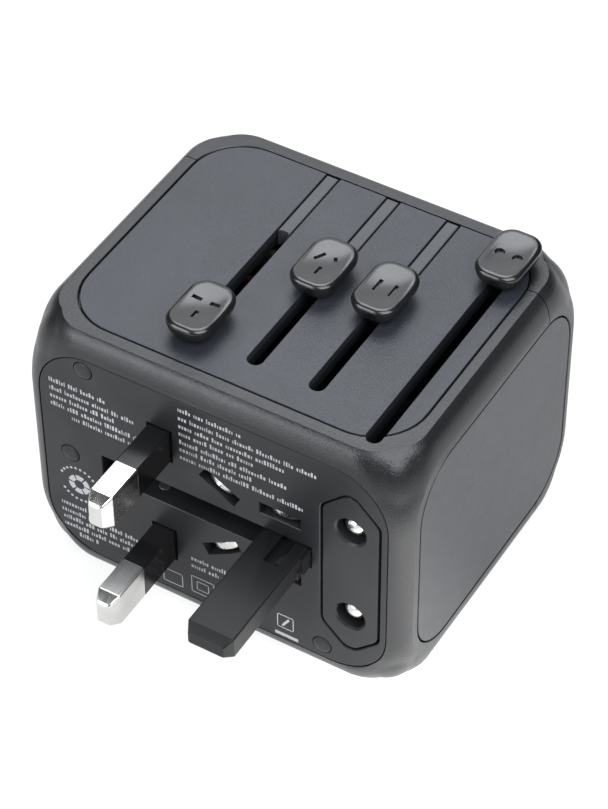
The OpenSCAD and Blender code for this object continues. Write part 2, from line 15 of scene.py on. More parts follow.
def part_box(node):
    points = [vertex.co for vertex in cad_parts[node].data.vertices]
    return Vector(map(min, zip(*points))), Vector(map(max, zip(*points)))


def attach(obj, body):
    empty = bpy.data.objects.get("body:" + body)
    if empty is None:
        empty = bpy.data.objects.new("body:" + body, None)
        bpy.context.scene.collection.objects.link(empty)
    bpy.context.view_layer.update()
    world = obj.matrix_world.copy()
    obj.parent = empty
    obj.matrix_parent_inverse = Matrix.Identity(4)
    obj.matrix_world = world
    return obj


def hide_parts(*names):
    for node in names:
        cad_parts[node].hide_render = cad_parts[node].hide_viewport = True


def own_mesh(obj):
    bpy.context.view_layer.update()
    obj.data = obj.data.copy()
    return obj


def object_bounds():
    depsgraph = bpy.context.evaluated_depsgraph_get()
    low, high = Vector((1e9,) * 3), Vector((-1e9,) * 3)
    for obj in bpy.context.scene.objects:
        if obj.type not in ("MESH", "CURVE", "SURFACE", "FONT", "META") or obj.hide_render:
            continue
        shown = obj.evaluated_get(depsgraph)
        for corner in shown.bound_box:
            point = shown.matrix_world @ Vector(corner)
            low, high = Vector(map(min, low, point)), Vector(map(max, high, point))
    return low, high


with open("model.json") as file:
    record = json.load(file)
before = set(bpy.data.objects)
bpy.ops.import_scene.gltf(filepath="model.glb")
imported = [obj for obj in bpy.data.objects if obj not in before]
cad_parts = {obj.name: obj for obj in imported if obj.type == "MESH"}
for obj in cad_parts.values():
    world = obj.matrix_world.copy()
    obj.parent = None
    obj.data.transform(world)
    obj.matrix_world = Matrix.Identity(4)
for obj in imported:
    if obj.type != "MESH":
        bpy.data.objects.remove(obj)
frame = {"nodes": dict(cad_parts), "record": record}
cad_low, cad_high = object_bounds()

MM = 0.001
CASE_LOW, CASE_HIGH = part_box("front_shell")
SOCKET_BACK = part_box("socket_face")[1].y
FACE_Y = CASE_LOW.y
MID_Z = (CASE_LOW.z + CASE_HIGH.z) / 2
HALF_W = (CASE_HIGH.x - CASE_LOW.x) / 2 / MM
HALF_H = (CASE_HIGH.z - CASE_LOW.z) / 2 / MM
DEPTH = (SOCKET_BACK - FACE_Y) / MM
PARTING = (CASE_HIGH.y - FACE_Y) / MM

UK_X, AUS_X, US_X, EU_X = -8.93, 1.7, 12.4, 24.65
SLOT_X = {"uk": -8.93, "aus": 2.05, "us": 12.84, "eu": 25.4}
SLOT_FRONT, EU_SLOT_FRONT, EU_SLOT_REAR = 9.2, 4.1, 48.9
SLOT_W = 2.6
KNOB_Y = {"uk": 12.75, "aus": 30.55, "us": 30.55, "eu": 46.5}
# heights of the live (+) and neutral (-) pins of each plug
UK_Z, AUS_Z, US_Z, EU_Z = 11.1, 6.9, 6.35, 9.5
AUS_TILT = 30
EU_PIN_R = 2.0
EU_SLEEVE_Y = 11.6
WALL = 3
PANEL_T = 1.2
EASE = 0.14
GROOVE = 0.27
TOP_PANEL = (59.4, 47.8, 28.3)
SIDE_PANEL = (47.6, 39.8, 28.6)
PANEL_R = 9
PLATE = (62, 43.8, 10)
PLATE_T = 2
COVER_T = 2.4
SCREWS = [(-22.4, 19.6), (-26.05, -0.3), (19.75, -19.1)]
USB_A = (20, -6.55, 13.1, 5.7)
USB_C = (35, -7.77, 8.94, 3.16)


def at(x, y, z):
    """Body coordinates in millimetres to a point of the row frame in metres."""
    return Vector((x * MM, FACE_Y + y * MM, MID_Z + z * MM))


# ---- materials ---------------------------------------------------------------------------

def nodes_of(name):
    """A new material, its node tree and its Principled BSDF."""
    mat = bpy.data.materials.new(name)
    mat.use_nodes = True
    tree = mat.node_tree
    return mat, tree, tree.nodes["Principled BSDF"]


def add(tree, kind, **values):
    """Adds a node; each value goes to the input of that name, or to the node's own property."""
    node = tree.nodes.new(kind)
    for key, value in values.items():
        if key in node.inputs:
            node.inputs[key].default_value = value
        else:
            setattr(node, key, value)
    return node


def noise(tree, coords, scale, detail=2.0, rough=0.5):
    node = add(tree, "ShaderNodeTexNoise", Scale=scale, Detail=detail, Roughness=rough)
    tree.links.new(coords, node.inputs["Vector"])
    return node.outputs["Fac"]


def ramp(tree, source, low, high, to_low, to_high):
    node = tree.nodes.new("ShaderNodeMapRange")
    for key, value in (("From Min", low), ("From Max", high),
                       ("To Min", to_low), ("To Max", to_high)):
        node.inputs[key].default_value = value
    tree.links.new(source, node.inputs["Value"])
    return node.outputs["Result"]


def mixed(tree, factor, a, b):
    """Mixes two colours, each a socket or a tuple, by a factor."""
    node = tree.nodes.new("ShaderNodeMix")
    node.data_type = "RGBA"
    for socket, value in ((node.inputs[0], factor), (node.inputs[6], a), (node.inputs[7], b)):
        if isinstance(value, bpy.types.NodeSocket):
            tree.links.new(value, socket)
        elif isinstance(value, tuple):
            socket.default_value = (*value, 1)
        else:
            socket.default_value = value
    return node.outputs[2]


def bumped(tree, bsdf, layers):
    """Adds bump layers of (height, strength, distance in metres), the coarsest first."""
    normal = None
    for height, strength, distance in layers:
        node = add(tree, "ShaderNodeBump", Strength=strength, Distance=distance)
        tree.links.new(height, node.inputs["Height"])
        if normal is not None:
            tree.links.new(normal, node.inputs["Normal"])
        normal = node.outputs["Normal"]
    tree.links.new(normal, bsdf.inputs["Normal"])


def moulded(name, colour, rough, grain, grain_size, level, wear, speck=0.0):
    """Injection-moulded plastic: spark-eroded grain, faint flow clouds and edges rubbed lighter.

    grain is the strength of the bump and grain_size its size in millimetres; level is the
    specular level, wear the strength of the rubbed edges and speck that of light specks.
    """
    mat, tree, bsdf = nodes_of(name)
    coords = tree.nodes.new("ShaderNodeTexCoord").outputs["Object"]
    clouds = noise(tree, coords, 70, 3)
    streaks = noise(tree, coords, 420, 4, 0.6)
    fine = noise(tree, coords, 1 / (grain_size * MM), 2.0, 0.55)
    finer = noise(tree, coords, 2.3 / (grain_size * MM), 1.0)
    light = tuple(min(1, c * 1.22 + 0.002) for c in colour)
    dark = tuple(c * 0.84 for c in colour)
    base = mixed(tree, ramp(tree, clouds, 0.3, 0.7, 0, 1), dark, light)
    if speck:
        base = mixed(tree, ramp(tree, finer, 0.56, 0.72, 0, speck), base,
                     tuple(min(1, c * 2.2 + 0.01) for c in colour))
    edges = tree.nodes.new("ShaderNodeNewGeometry").outputs["Pointiness"]
    rubbed = ramp(tree, edges, 0.515, 0.56, 0, wear)
    base = mixed(tree, rubbed, base, tuple(min(1, c * 1.6 + 0.02) for c in colour))
    tree.links.new(base, bsdf.inputs["Base Color"])
    gloss = ramp(tree, streaks, 0.25, 0.75, rough - 0.02, rough + 0.02)
    tree.links.new(gloss, bsdf.inputs["Roughness"])
    bsdf.inputs["Specular IOR Level"].default_value = level
    bumped(tree, bsdf, [(streaks, 0.02, 0.00004), (fine, grain, 0.00006), (finer, grain * 0.6, 0.00003)])
    return mat


def metal(name, colour, rough, brush=0.1, scale=(900, 60, 900), stain=0.1):
    """Plated or bare metal: drawn lines along y, small stains and pits."""
    mat, tree, bsdf = nodes_of(name)
    coords = tree.nodes.new("ShaderNodeTexCoord").outputs["Object"]
    mapping = add(tree, "ShaderNodeMapping", Scale=scale)
    tree.links.new(coords, mapping.inputs["Vector"])
    lines = noise(tree, mapping.outputs["Vector"], 1, 3, 0.6)
    pits = noise(tree, coords, 1500, 2)
    blotch = noise(tree, coords, 260, 3)
    dark = tuple(c * (1 - stain * 2) for c in colour)
    base = mixed(tree, ramp(tree, blotch, 0.35, 0.65, 0, 1), colour, dark)
    tree.links.new(base, bsdf.inputs["Base Color"])
    gloss = ramp(tree, lines, 0.3, 0.7, rough - 0.05, rough + 0.07)
    tree.links.new(gloss, bsdf.inputs["Roughness"])
    bsdf.inputs["Metallic"].default_value = 1
    bumped(tree, bsdf, [(lines, brush, 0.00002), (pits, 0.08, 0.00001)])
    return mat


MATERIALS = {
    "shell_plastic": moulded("case_textured_plastic", (0.0036, 0.0038, 0.0046),
                             0.34, 0.85, 0.32, 0.42, 0.15, 1.0),
    "panel_plastic": moulded("panel_satin_plastic", (0.0110, 0.0126, 0.0165),
                             0.38, 0.95, 0.24, 0.38, 0.2, 1.2),
    "face_plastic": moulded("plug_face_plastic", (0.0085, 0.0088, 0.010), 0.42, 0.10, 0.22, 0.26, 0.25),
    "knob_plastic": moulded("slider_knob_plastic", (0.005, 0.005, 0.0056), 0.23, 0.03, 0.2, 0.5, 0.3),
    "black_plastic": moulded("earth_pin_plastic", (0.0035, 0.0036, 0.0042), 0.42, 0.10, 0.25, 0.2, 0.3),
    "sleeve_plastic": moulded("pin_sleeve_plastic", (0.0025, 0.0025, 0.0028), 0.16, 0.02, 0.2, 0.3, 0.1),
    "natural_plastic": moulded("grey_nylon", (0.030, 0.030, 0.031), 0.42, 0.06, 0.3, 0.5, 0.05),
    "port_white": moulded("port_white_plastic", (0.75, 0.75, 0.73), 0.35, 0.03, 0.3, 0.5, 0.02),
    "board_green": moulded("board_solder_mask", (0.012, 0.10, 0.035), 0.3, 0.05, 0.8, 0.5, 0.2),
    "ferrite": moulded("ferrite_core", (0.055, 0.055, 0.058), 0.6, 0.3, 0.2, 0.4, 0.2),
    "winding_tape": moulded("winding_tape_film", (0.62, 0.40, 0.06), 0.3, 0.05, 0.5, 0.5, 0.1),
    "capacitor_sleeve": moulded("capacitor_sleeve_film", (0.02, 0.03, 0.10), 0.3, 0.03, 0.5, 0.5, 0.2),
    "live_wire": moulded("live_wire_pvc", (0.16, 0.05, 0.02), 0.4, 0.05, 0.3, 0.5, 0.05),
    "neutral_wire": moulded("neutral_wire_pvc", (0.03, 0.09, 0.28), 0.4, 0.05, 0.3, 0.5, 0.05),
    "plated_pin": metal("nickel_plated_pin", (0.63, 0.625, 0.605), 0.20, 0.05, (700, 50, 700), 0.05),
    "contact_brass": metal("contact_brass_strip", (0.78, 0.58, 0.25), 0.28, 0.12),
    "steel": metal("bright_steel", (0.66, 0.66, 0.67), 0.24, 0.10),
}
STRIP_PLASTIC = moulded("slot_strip_plastic", (0.024, 0.0255, 0.029), 0.48, 0.4, 0.24, 0.5, 0.1, 0.1)
PRINT_INK = moulded("pad_print_ink", (0.30, 0.30, 0.31), 0.6, 0.1, 0.12, 0.4, 0.0)


# ---- mesh building -----------------------------------------------------------------------

def ring_xz(outline, y):
    """An (x, z) outline at depth y. ring_xy and ring_yz do the same in the other planes."""
    return [(u, y, v) for u, v in outline]


def ring_xy(outline, z):
    return [(u, v, z) for u, v in outline]


def ring_yz(outline, x):
    return [(x, u, v) for u, v in outline]


def rounded(w, h, r, cx=0.0, cy=0.0, steps=10, inset=0.0):
    """Rounded rectangle as a list of points. A positive inset draws it smaller all round."""
    w, h, r = w - 2 * inset, h - 2 * inset, max(r - inset, 0.02)
    points = []
    for sx, sy, start in ((1, 1, 0), (-1, 1, 90), (-1, -1, 180), (1, -1, 270)):
        for k in range(steps + 1):
            a = math.radians(start + 90 * k / steps)
            points.append((cx + sx * (w / 2 - r) + r * math.cos(a), cy + sy * (h / 2 - r) + r * math.sin(a)))
    return points


def softened(corners, r, steps=6):
    """A polygon with each corner rounded by radius r."""
    points = []
    n = len(corners)
    for i, c in enumerate(corners):
        p, a, b = (Vector(v) for v in (c, corners[i - 1], corners[(i + 1) % n]))
        u, v = (a - p).normalized(), (b - p).normalized()
        half = math.acos(max(-1, min(1, u.dot(v)))) / 2
        reach = min(r / math.tan(half), (a - p).length * 0.49, (b - p).length * 0.49)
        radius = reach * math.tan(half)
        centre = p + (u + v).normalized() * (radius / math.sin(half))
        start = p + u * reach - centre
        end = p + v * reach - centre
        turn = math.atan2(start.x * end.y - start.y * end.x, start.dot(end))
        for k in range(steps + 1):
            t = turn * k / steps
            c0, s0 = math.cos(t), math.sin(t)
            points.append((centre.x + start.x * c0 - start.y * s0, centre.y + start.x * s0 + start.y * c0))
    return points


def disc(cx, cy, r, steps=40):
    """A circle as a list of points."""
    return [(cx + r * math.cos(2 * math.pi * k / steps), cy + r * math.sin(2 * math.pi * k / steps))
            for k in range(steps)]


def loft(bm, rings):
    """Skins a stack of rings that have the same number of points, and closes both ends."""
    rows = [[bm.verts.new(at(*p)) for p in ring] for ring in rings]
    n = len(rows[0])
    faces = []
    for lower, upper in zip(rows, rows[1:]):
        for i in range(n):
            j = (i + 1) % n
            faces.append(bm.faces.new((lower[i], lower[j], upper[j], upper[i])))
    faces.append(bm.faces.new(rows[0][::-1]))
    faces.append(bm.faces.new(rows[-1]))
    bmesh.ops.recalc_face_normals(bm, faces=faces)
    return rows


def as_object(name, bm):
    mesh = bpy.data.meshes.new(name)
    bm.to_mesh(mesh)
    bm.free()
    obj = bpy.data.objects.new(name, mesh)
    bpy.context.scene.collection.objects.link(obj)
    return obj


def solid(name, *stacks):
    """An object of one closed solid for each stack of rings."""
    bm = bmesh.new()
    for rings in stacks:
        loft(bm, rings)
    return as_object(name, bm)


def cuboid(name, x0, x1, y0, y1, z0, z1):
    corners = [(x0, z0), (x1, z0), (x1, z1), (x0, z1)]
    return solid(name, [ring_xz(corners, y0), ring_xz(corners, y1)])


def baked(obj):
    """Applies the object's modifiers to its mesh."""
    graph = bpy.context.evaluated_depsgraph_get()
    mesh = bpy.data.meshes.new_from_object(obj.evaluated_get(graph), depsgraph=graph)
    old = obj.data
    obj.modifiers.clear()
    obj.data = mesh
    bpy.data.meshes.remove(old)
    return obj


def combine(obj, tools, operation="DIFFERENCE"):
    """Applies one boolean for each tool and removes the tool."""
    for tool in tools:
        step = obj.modifiers.new("boolean", "BOOLEAN")
        step.operation = operation
        step.solver = "EXACT"
        step.object = tool
        baked(obj)
        bpy.data.objects.remove(tool)
    return obj


def cut(obj, *stacks):
    return combine(obj, [solid("tool", rings) for rings in stacks])


def eased(obj, width, segments=2, angle=35):
    """Bevels the edges sharper than angle by width, in millimetres."""
    bevel = obj.modifiers.new("bevel", "BEVEL")
    bevel.width = width * MM
    bevel.segments = segments
    bevel.limit_method = "ANGLE"
    bevel.angle_limit = math.radians(angle)
    bevel.use_clamp_overlap = True
    return baked(obj)


def finish_piece(obj, body, slot, nodes=(), material=None, sharp=32, weighted=True):
    """Shades, paints and attaches a piece. slot is the record's slot, or None."""
    mesh = obj.data
    mesh.materials.clear()
    mesh.materials.append(material or MATERIALS[slot])
    mesh.shade_smooth()
    mesh.set_sharp_from_angle(angle=math.radians(sharp))
    if weighted:
        normals = obj.modifiers.new("normals", "WEIGHTED_NORMAL")
        normals.keep_sharp = True
        normals.weight = 60
        baked(obj)
    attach(obj, body)
    if nodes:
        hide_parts(*nodes)
    return obj


# ---- the case ----------------------------------------------------------------------------

# the outer form is a rounded box that stands slightly proud of the flat faces; the faces cut it
FORM_R = (10.25, 10.0, 14.9)
FORM_PROUD = (0.27, 0.36, 0.77)
EDGE_POWER, CORNER_POWER = 5.0, 3.3


def form_point(centre, d, power):
    """A point of the superellipsoid round centre in direction d."""
    size = sum(abs(c) ** power for c in d) ** (1 / power)
    return tuple(m + r * c / size for m, r, c in zip(centre, FORM_R, d))


def outer_form():
    """The case's outer form, as a cube grid blown up to rounded edges and corners."""
    half = (HALF_W, DEPTH / 2, HALF_H)
    inner = tuple(h + p - r for h, p, r in zip(half, FORM_PROUD, FORM_R))
    steps = 16
    band = [math.tan(math.radians(45 * k / steps)) for k in range(steps + 1)]
    lines = [(-1, -b) for b in reversed(band)] + [(1, b) for b in band]
    bm = bmesh.new()
    seen = {}

    def vertex(i, j, axis, side):
        """A point of the cube face (axis, side) at grid lines i and j."""
        u, v = [a for a in range(3) if a != axis]
        d, centre = [0.0] * 3, [0.0, DEPTH / 2, 0.0]
        for a, (end, offset) in ((u, lines[i]), (v, lines[j])):
            d[a] = offset
            centre[a] += end * inner[a]
        d[axis] = side
        centre[axis] += side * inner[axis]
        low, high = min(abs(c) for c in d), max(abs(c) for c in d)
        t = min(1.0, low / high / 0.6)
        power = EDGE_POWER + (CORNER_POWER - EDGE_POWER) * t * t * (3 - 2 * t)
        p = form_point(centre, d, power)
        key = tuple(round(c, 5) for c in p)
        if key not in seen:
            seen[key] = bm.verts.new(at(*p))
        return seen[key]

    for axis in range(3):
        for side in (-1, 1):
            for i in range(len(lines) - 1):
                for j in range(len(lines) - 1):
                    quad = [vertex(i, j, axis, side), vertex(i + 1, j, axis, side),
                            vertex(i + 1, j + 1, axis, side), vertex(i, j + 1, axis, side)]
                    if len(set(quad)) == 4:
                        bm.faces.new(quad)
    bmesh.ops.recalc_face_normals(bm, faces=bm.faces[:])
    obj = as_object("form", bm)
    box = cuboid("tool", -HALF_W, HALF_W, 0, DEPTH, -HALF_H, HALF_H)
    return combine(obj, [box], "INTERSECT")


def flared(ring, outline, near, far, lip=0.12):
    """Rings of a pocket cutter from depth near to past the surface at far, with a chamfered lip."""
    out = 1 if far > near else -1
    return [ring(outline(0), near), ring(outline(0), far - out * lip),
            ring(outline(-lip * 2), far + out * lip), ring(outline(-lip * 2), far + out)]


def top_outline(gap):
    return lambda inset: rounded(TOP_PANEL[0], TOP_PANEL[1], PANEL_R, 0, TOP_PANEL[2], inset=inset - gap)


def side_outline(gap):
    return lambda inset: rounded(SIDE_PANEL[0], SIDE_PANEL[1], PANEL_R, SIDE_PANEL[2], 0, inset=inset - gap)


def slot_outline(x, y0, y1, w=SLOT_W):
    """A slot with a round front end, in the (x, y) plane."""
    r = w / 2
    front = [(x - r * math.cos(math.pi * k / 14), y0 + r - r * math.sin(math.pi * k / 14)) for k in range(15)]
    return front + [(x + r, y1), (x - r, y1)]


def panel_pockets():
    """Cutters of the four panel recesses, a groove wider than the panels."""
    return [
        flared(ring_xy, top_outline(GROOVE), HALF_H - PANEL_T, HALF_H),
        flared(ring_xy, top_outline(GROOVE), -HALF_H + PANEL_T, -HALF_H),
        flared(ring_yz, side_outline(GROOVE), HALF_W - PANEL_T, HALF_W),
        flared(ring_yz, side_outline(GROOVE), -HALF_W + PANEL_T, -HALF_W),
    ]


def port(kind, gap):
    """Outline of a USB opening, in the (y, z) plane."""
    y, z, w, h = kind
    r = h / 2 if kind is USB_C else 0.6
    return rounded(w + gap, h + gap, r + gap / 2, y, z, 6)


def port_cuts(deep):
    return [[ring_yz(port(kind, 0.3), -HALF_W + deep), ring_yz(port(kind, 0.3), -HALF_W - 1)]
            for kind in (USB_A, USB_C)]


def hexagon(grow):
    """Outline of the EU block, in the (x, z) plane."""
    w, s, t = 4.95 + grow, 12.8 + grow * 0.4, 17.7 + grow * 1.4
    corners = [(-w, -s), (0, -t), (w, -s), (w, s), (0, t), (-w, s)]
    return softened([(EU_X + x, z) for x, z in corners], 2.2)


def front_case():
    """The front and rear shells, cut from one form at the parting line."""
    form = outer_form()
    rear = form.copy()
    rear.data = form.data.copy()
    bpy.context.scene.collection.objects.link(rear)
    form.name, rear.name = "case_front", "case_rear"
    gap = 0.09
    combine(form, [cuboid("tool", -50, 50, -5, PARTING - gap, -40, 40)], "INTERSECT")
    combine(rear, [cuboid("tool", -50, 50, PARTING + gap, DEPTH + 5, -40, 40)], "INTERSECT")
    cavity = rounded(2 * (HALF_W - WALL), 2 * (HALF_H - WALL), 2, steps=4)
    cut(form, [ring_xz(cavity, PLATE_T * 2), ring_xz(cavity, PARTING + 2)],
        flared(ring_xz, lambda inset: rounded(PLATE[0] + 0.2, PLATE[1] + 0.2, PLATE[2], inset=inset),
               PLATE_T, 0, 0.06),
        [ring_xz(rounded(58, 39.8, 7), 1), ring_xz(rounded(58, 39.8, 7), 6)],
        [ring_xz(hexagon(0.35), 1.1), ring_xz(hexagon(0.35), 4.5)],
        *panel_pockets(), *port_cuts(WALL + 1))
    for key, x in SLOT_X.items():
        start = EU_SLOT_FRONT if key == "eu" else SLOT_FRONT
        cut(form, [ring_xy(slot_outline(x, start, PARTING + 4), HALF_H - WALL - 1),
                   ring_xy(slot_outline(x, start, PARTING + 4), HALF_H + 1)])
    cut(rear, [ring_xz(cavity, PARTING - 2), ring_xz(cavity, DEPTH - COVER_T)],
        flared(ring_xz, lambda inset: rounded(50.3, 40.3, 8.15, inset=inset), PARTING + 3, DEPTH, 0.15),
        *panel_pockets(),
        [ring_xy(slot_outline(SLOT_X["eu"], 40, EU_SLOT_REAR), HALF_H - WALL - 1),
         ring_xy(slot_outline(SLOT_X["eu"], 40, EU_SLOT_REAR), HALF_H + 1)])
    finish_piece(form, "housing", "shell_plastic", ["front_shell"], sharp=14, weighted=False)
    finish_piece(rear, "housing", "shell_plastic", ["rear_shell"], sharp=14, weighted=False)


def panels():
    x, z, knee = HALF_W, HALF_H, EASE * 0.35
    flat, side_flat = top_outline(0), side_outline(0)
    top = solid("top_panel", [ring_xy(flat(0), z - PANEL_T), ring_xy(flat(0), z - EASE),
                              ring_xy(flat(knee), z - knee), ring_xy(flat(EASE), z)])
    lip = 0.08
    for key, slot_x in SLOT_X.items():
        start, end = (EU_SLOT_FRONT, EU_SLOT_REAR) if key == "eu" else (SLOT_FRONT, DEPTH)
        narrow = slot_outline(slot_x, start, end)
        wide = slot_outline(slot_x, start - lip, end + lip, SLOT_W + 2 * lip)
        cut(top, [ring_xy(narrow, z - PANEL_T - 1), ring_xy(narrow, z - lip),
                  ring_xy(wide, z + 0.002), ring_xy(wide, z + 1)])
    finish_piece(top, "housing", "panel_plastic", ["slider_panel"])
    base = solid("bottom_panel", [ring_xy(flat(0), -z + PANEL_T), ring_xy(flat(0), -z + EASE),
                                  ring_xy(flat(EASE), -z)])
    finish_piece(base, "housing", "panel_plastic", ["base_panel"])
    for name, side, node in (("right_panel", 1, "right_side_panel"), ("left_panel", -1, "left_side_panel")):
        panel = solid(name, [ring_yz(side_flat(0), side * (x - PANEL_T)),
                             ring_yz(side_flat(0), side * (x - EASE)),
                             ring_yz(side_flat(knee), side * (x - knee)),
                             ring_yz(side_flat(EASE), side * x)])
        if side < 0:
            for kind in (USB_A, USB_C):
                cut(panel, [ring_yz(port(kind, 0.3), -x + 3), ring_yz(port(kind, 0.3), -x + 0.3),
                            ring_yz(port(kind, 1.0), -x - 0.05), ring_yz(port(kind, 1.0), -x - 1)])
        finish_piece(panel, "housing", "panel_plastic", [node])


def slot_strips():
    """The rear shell's fingers that close the rear of three slots, with hollowed front ends."""
    bm = bmesh.new()
    for key in ("uk", "aus", "us"):
        x, w, front, rear = SLOT_X[key], 1.0, 36.6, 51.9
        hollow = [(x - w * math.cos(math.pi * k / 12), front + 0.55 * math.sin(math.pi * k / 12))
                  for k in range(13)]
        outline = hollow + [(x + w, rear), (x - w, rear)]
        inner = [(x + (u - x) * 0.92, v + (0.06 if v < 40 else -0.06)) for u, v in outline]
        loft(bm, [ring_xy(outline, HALF_H - WALL), ring_xy(outline, HALF_H - 0.1),
                  ring_xy(inner, HALF_H - 0.03)])
    finish_piece(as_object("slot_strips", bm), "housing", "shell_plastic", material=STRIP_PLASTIC)


# ---- plug face ---------------------------------------------------------------------------

def turned(cx, cz, w, h, degrees):
    """A rectangle turned about its middle."""
    c, s = math.cos(math.radians(degrees)), math.sin(math.radians(degrees))
    return [(cx + u * c - v * s, cz + u * s + v * c)
            for u, v in ((-w / 2, -h / 2), (w / 2, -h / 2), (w / 2, h / 2), (-w / 2, h / 2))]


def face_holes():
    """Openings of the plate: the earth pin's slot, then a pair for each flat pin."""
    holes = [[(-20.05, -2.25), (17.9, -2.25), (17.9, 2.25), (-20.05, 2.25)]]
    for s in (1, -1):
        holes.append(turned(UK_X, s * UK_Z, 4.4, 6.75, 0))
        holes.append(turned(AUS_X, s * AUS_Z, 7.15, 2.4, -s * AUS_TILT))
        holes.append(turned(US_X, s * US_Z, 7.15, 2.2, 0))
    return holes


def scaled(outline, grow):
    """Moves each point of an outline away from its middle, by grow in x and by grow in z."""
    n = len(outline)
    cx, cz = sum(p[0] for p in outline) / n, sum(p[1] for p in outline) / n
    return [(x + math.copysign(grow, x - cx), z + math.copysign(grow, z - cz)) for x, z in outline]


def face_plate():
    w, h, r = PLATE
    steps = ((0, PLATE_T), (0, 0.25), (0.08, 0.08), (0.25, 0))
    plate = solid("face_plate", [ring_xz(rounded(w, h, r, inset=inset), y) for inset, y in steps])
    for outline in face_holes():
        cut(plate, [ring_xz(outline, 3), ring_xz(outline, 0.1), ring_xz(scaled(outline, 0.12), -0.02),
                    ring_xz(scaled(outline, 0.12), -1)])
    cut(plate, [ring_xz(hexagon(0.3), 3), ring_xz(hexagon(0.3), 0.12), ring_xz(hexagon(0.45), -0.03),
                ring_xz(hexagon(0.45), -1)])
    for x, z in SCREWS:
        cut(plate, [ring_xz(disc(x, z, 1.75, 28), -1), ring_xz(disc(x, z, 1.75, 28), 3)])
    finish_piece(plate, "housing", "face_plastic", ["plug_face_plate"])
    bm = bmesh.new()
    for x, z in SCREWS:
        profile = [(1.62, 1.2), (1.62, 0.15), (1.56, -0.06), (1.38, -0.2), (1.05, -0.27), (0.55, -0.3),
                   (0.12, -0.3)]
        loft(bm, [ring_xz(disc(x, z, rad, 28), y) for rad, y in profile])
    finish_piece(as_object("screw_buttons", bm), "housing", "face_plastic", ["screw_plugs"])


def eu_block():
    outline = [hexagon(-0.05 - g) for g in (0, 0, 0.1, 0.3)]
    block = solid("eu_block_body", [ring_xz(outline[0], 22), ring_xz(outline[1], 0.3),
                                    ring_xz(outline[2], 0.08), ring_xz(outline[3], 0.0)])
    for s in (1, -1):
        z = s * EU_Z
        cut(block, [ring_xz(disc(EU_X, z, 2.18), 25), ring_xz(disc(EU_X, z, 2.18), 3.2),
                    ring_xz(disc(EU_X, z, 2.5), 3.0), ring_xz(disc(EU_X, z, 2.5), 0.35),
                    ring_xz(disc(EU_X, z, 2.85), -0.02), ring_xz(disc(EU_X, z, 2.85), -1)])
    finish_piece(block, "eu_block", "face_plastic", ["eu_pin_block"])


# ---- pins --------------------------------------------------------------------------------

def prong(name, sign, node):
    """A UK pin with a bevelled tip, thinner where its sleeve covers it."""
    x, z = UK_X, sign * UK_Z

    def section(y, inset_x, inset_z):
        return ring_xz(rounded(4 - 2 * inset_x, 6.35 - 2 * inset_z, 0.35, x, z, 4), y)

    tip = [(-9, 0, 0), (-15.5, 0, 0), (-15.75, 0.05, 0.05), (-17.25, 0.66, 0.74), (-17.55, 0.85, 0.95),
           (-17.7, 1.1, 1.25)]
    obj = solid(name, [ring_xz(rounded(3, 5.35, 0.3, x, z, 4), 17.5),
                       ring_xz(rounded(3, 5.35, 0.3, x, z, 4), -8.9), *[section(*t) for t in tip]])
    finish_piece(obj, "uk_slider", "plated_pin", [node], sharp=20)


def collar(name, sign, node):
    """The insulating sleeve of a UK pin."""
    x, z = UK_X, sign * UK_Z
    outline = rounded(4, 6.35, 0.32, x, z, 4)
    lip = rounded(3.8, 6.15, 0.3, x, z, 4)
    obj = solid(name, [ring_xz(outline, 10.6), ring_xz(outline, -8.85), ring_xz(lip, -8.98)])
    bore = rounded(3.02, 5.37, 0.3, x, z, 4)
    cut(obj, [ring_xz(bore, -12), ring_xz(bore, 14)])
    finish_piece(obj, "uk_slider", "sleeve_plastic", [node])


def eu_prong(name, sign, node):
    """A round pin with a domed tip that nearly fills its hole in the block."""
    z, r, tip = sign * EU_Z, EU_PIN_R, 0.75
    dome = [(r * math.cos(math.radians(a)), tip + 1.5 * (1 - math.sin(math.radians(a))))
            for a in (0, 10, 20, 30, 40, 50, 60, 70, 80, 86)]
    profile = [(1.5, 46), (1.5, EU_SLEEVE_Y + 0.05), (r, EU_SLEEVE_Y)] + dome
    obj = solid(name, [ring_xz(disc(EU_X, z, rad, 40), y) for rad, y in profile])
    finish_piece(obj, "eu_slider", "plated_pin", [node], sharp=60)


def eu_sleeve_and_slot_shade(name, sign):
    """An insulating sleeve on the rear of a round pin, drawn much longer than a real one as a dark stand-in
    for the shade inside the EU slot: painted shade that hides the bright pin seen through the slot.
    """
    z, r = sign * EU_Z, EU_PIN_R
    # the dark sleeve runs back to y 44, past a real sleeve's length, so what shows through the slot is
    # painted shade
    obj = solid(name, [ring_xz(disc(EU_X, z, r, 40), 44), ring_xz(disc(EU_X, z, r, 40), EU_SLEEVE_Y + 0.25),
                       ring_xz(disc(EU_X, z, r - 0.1, 40), EU_SLEEVE_Y + 0.1)])
    cut(obj, [ring_xz(disc(EU_X, z, 1.52, 40), 5), ring_xz(disc(EU_X, z, 1.52, 40), 48)])
    finish_piece(obj, "eu_slider", "sleeve_plastic")


def blade(name, body, node, cx, cz, tilt, tip):
    """A flat blade with a rounded tip."""
    c, s = math.cos(math.radians(tilt)), math.sin(math.radians(tilt))
    arc, drop = 4.53, 1.3
    rings = []
    for y in [34.6] + [tip + drop * (1 - k / 9) ** 1.7 for k in range(10)]:
        half = min(3.175, math.sqrt(max(0.02, arc ** 2 - (arc - (y - tip)) ** 2)))
        thick = 0.8 - 0.22 * max(0.0, 1 - (y - tip) / 0.25)
        outline = rounded(2 * half, 2 * thick, min(0.2, half * 0.9), 0, 0, 3)
        rings.append(ring_xz([(cx + u * c - v * s, cz + u * s + v * c) for u, v in outline], y))
    finish_piece(solid(name, rings), body, "plated_pin", [node], sharp=40)


